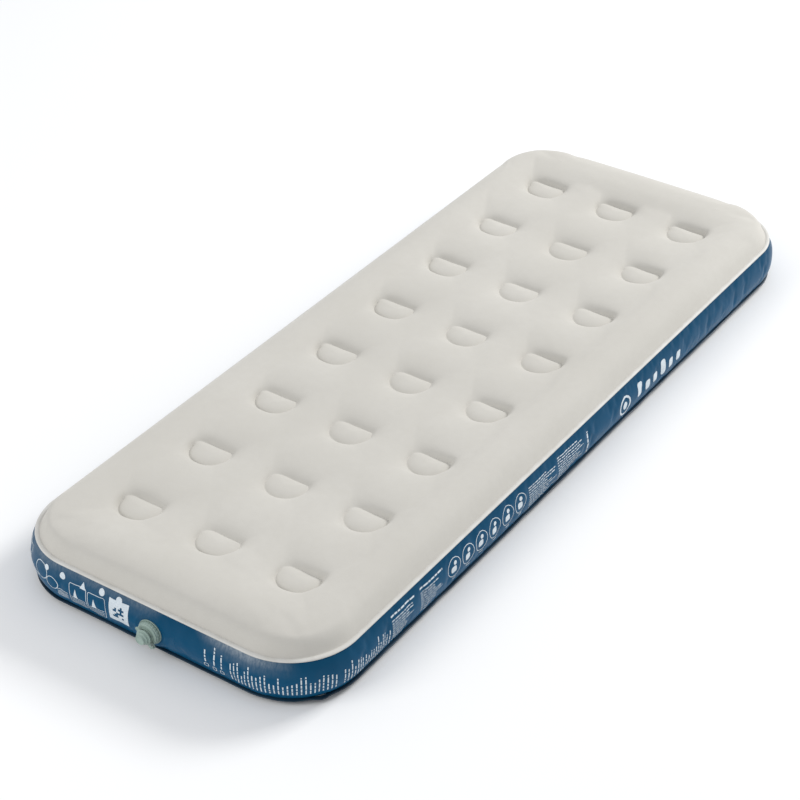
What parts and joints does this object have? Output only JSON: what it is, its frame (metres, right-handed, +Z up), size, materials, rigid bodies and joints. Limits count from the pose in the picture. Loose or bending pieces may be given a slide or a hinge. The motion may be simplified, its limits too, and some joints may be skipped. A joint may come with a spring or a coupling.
{
  "type": "air mattress",
  "caption": "Inflated single air mattress: flocked quilted top over coil beams, blue side band, and a screw-on valve with a stopper in one short side.",
  "frame": {"origin": "middle of the underside, on the floor", "axes": "+Z up, +Y along the length and away from the end with the valve, +X across the width"},
  "size_m": [0.732, 1.9305, 0.136],
  "materials": {
    "flock": "short cream flocking",
    "pale_pvc": "pale welded PVC",
    "blue_pvc": "satin blue PVC film",
    "navy_pvc": "dark navy PVC film",
    "inner_pvc": "plain PVC film",
    "valve_plastic": "moulded soft plastic",
    "soft_rubber": "soft rubber"
  },
  "bodies": {
    "air_chamber": {"side_band": "blue_pvc", "valve_panel": "blue_pvc", "bottom_sheet": "navy_pvc", "bottom_weld_lip": "navy_pvc", "coil_beam_row1_col1": "inner_pvc", "coil_beam_row1_col2": "inner_pvc", "coil_beam_row1_col3": "inner_pvc", "coil_beam_row2_col1": "inner_pvc", "coil_beam_row2_col2": "inner_pvc", "coil_beam_row2_col3": "inner_pvc", "coil_beam_row3_col1": "inner_pvc", "coil_beam_row3_col2": "inner_pvc", "coil_beam_row3_col3": "inner_pvc", "coil_beam_row4_col1": "inner_pvc", "coil_beam_row4_col2": "inner_pvc", "coil_beam_row4_col3": "inner_pvc", "coil_beam_row5_col1": "inner_pvc", "coil_beam_row5_col2": "inner_pvc", "coil_beam_row5_col3": "inner_pvc", "coil_beam_row6_col1": "inner_pvc", "coil_beam_row6_col2": "inner_pvc", "coil_beam_row6_col3": "inner_pvc", "coil_beam_row7_col1": "inner_pvc", "coil_beam_row7_col2": "inner_pvc", "coil_beam_row7_col3": "inner_pvc", "coil_beam_row8_col1": "inner_pvc", "coil_beam_row8_col2": "inner_pvc", "coil_beam_row8_col3": "inner_pvc"},
    "sleeping_surface": {"top_sheet": "flock", "top_weld_lip": "pale_pvc"},
    "valve_seat": {"valve_base": "valve_plastic"},
    "gasket": {"collar_gasket": "soft_rubber"},
    "collar": {"valve_collar": "valve_plastic", "flap_pin": "valve_plastic", "stopper_strap": "valve_plastic"},
    "flap": {"valve_flap": "soft_rubber"},
    "stopper": {"stopper_cap": "valve_plastic"}
  },
  "joints": [
    {"name": "surface_sink", "type": "slide", "parent": "air_chamber", "child": "sleeping_surface", "axis": [0, 0, 1], "range_m": [-0.04, 0], "stiffness_N_per_m": 18000, "deforming": ["side_band", "valve_panel", "coil_beam_row1_col1", "coil_beam_row1_col2", "coil_beam_row1_col3", "coil_beam_row2_col1", "coil_beam_row2_col2", "coil_beam_row2_col3", "coil_beam_row3_col1", "coil_beam_row3_col2", "coil_beam_row3_col3", "coil_beam_row4_col1", "coil_beam_row4_col2", "coil_beam_row4_col3", "coil_beam_row5_col1", "coil_beam_row5_col2", "coil_beam_row5_col3", "coil_beam_row6_col1", "coil_beam_row6_col2", "coil_beam_row6_col3", "coil_beam_row7_col1", "coil_beam_row7_col2", "coil_beam_row7_col3", "coil_beam_row8_col1", "coil_beam_row8_col2", "coil_beam_row8_col3"]},
    {"name": "valve_drop", "type": "slide", "parent": "air_chamber", "child": "valve_seat", "axis": [0, 0, 1], "range_m": [-0.0186, 0]},
    {"name": "collar_advance", "type": "slide", "parent": "valve_seat", "child": "gasket", "axis": [0, -1, 0], "range_m": [0, 0.00605]},
    {"name": "collar_turn", "type": "hinge", "parent": "gasket", "child": "collar", "pos_m": [0.005, -0.955, 0.052], "axis": [0, -1, 0], "range_deg": [0, 540]},
    {"name": "stopper_pull", "type": "slide", "parent": "collar", "child": "stopper", "axis": [0, -1, 0], "range_m": [0, 0.012], "deforming": ["stopper_strap"]},
    {"name": "flap_swing", "type": "hinge", "parent": "collar", "child": "flap", "pos_m": [0.005, -0.9585, 0.0634], "axis": [1, 0, 0], "range_deg": [0, 35], "stiffness_Nm_per_rad": 0.002}
  ],
  "couplings": [
    {"joint": "valve_drop", "follows": "surface_sink", "ratio": 0.46},
    {"joint": "collar_advance", "follows": "collar_turn", "m_per_rad": 0.00063662}
  ]
}
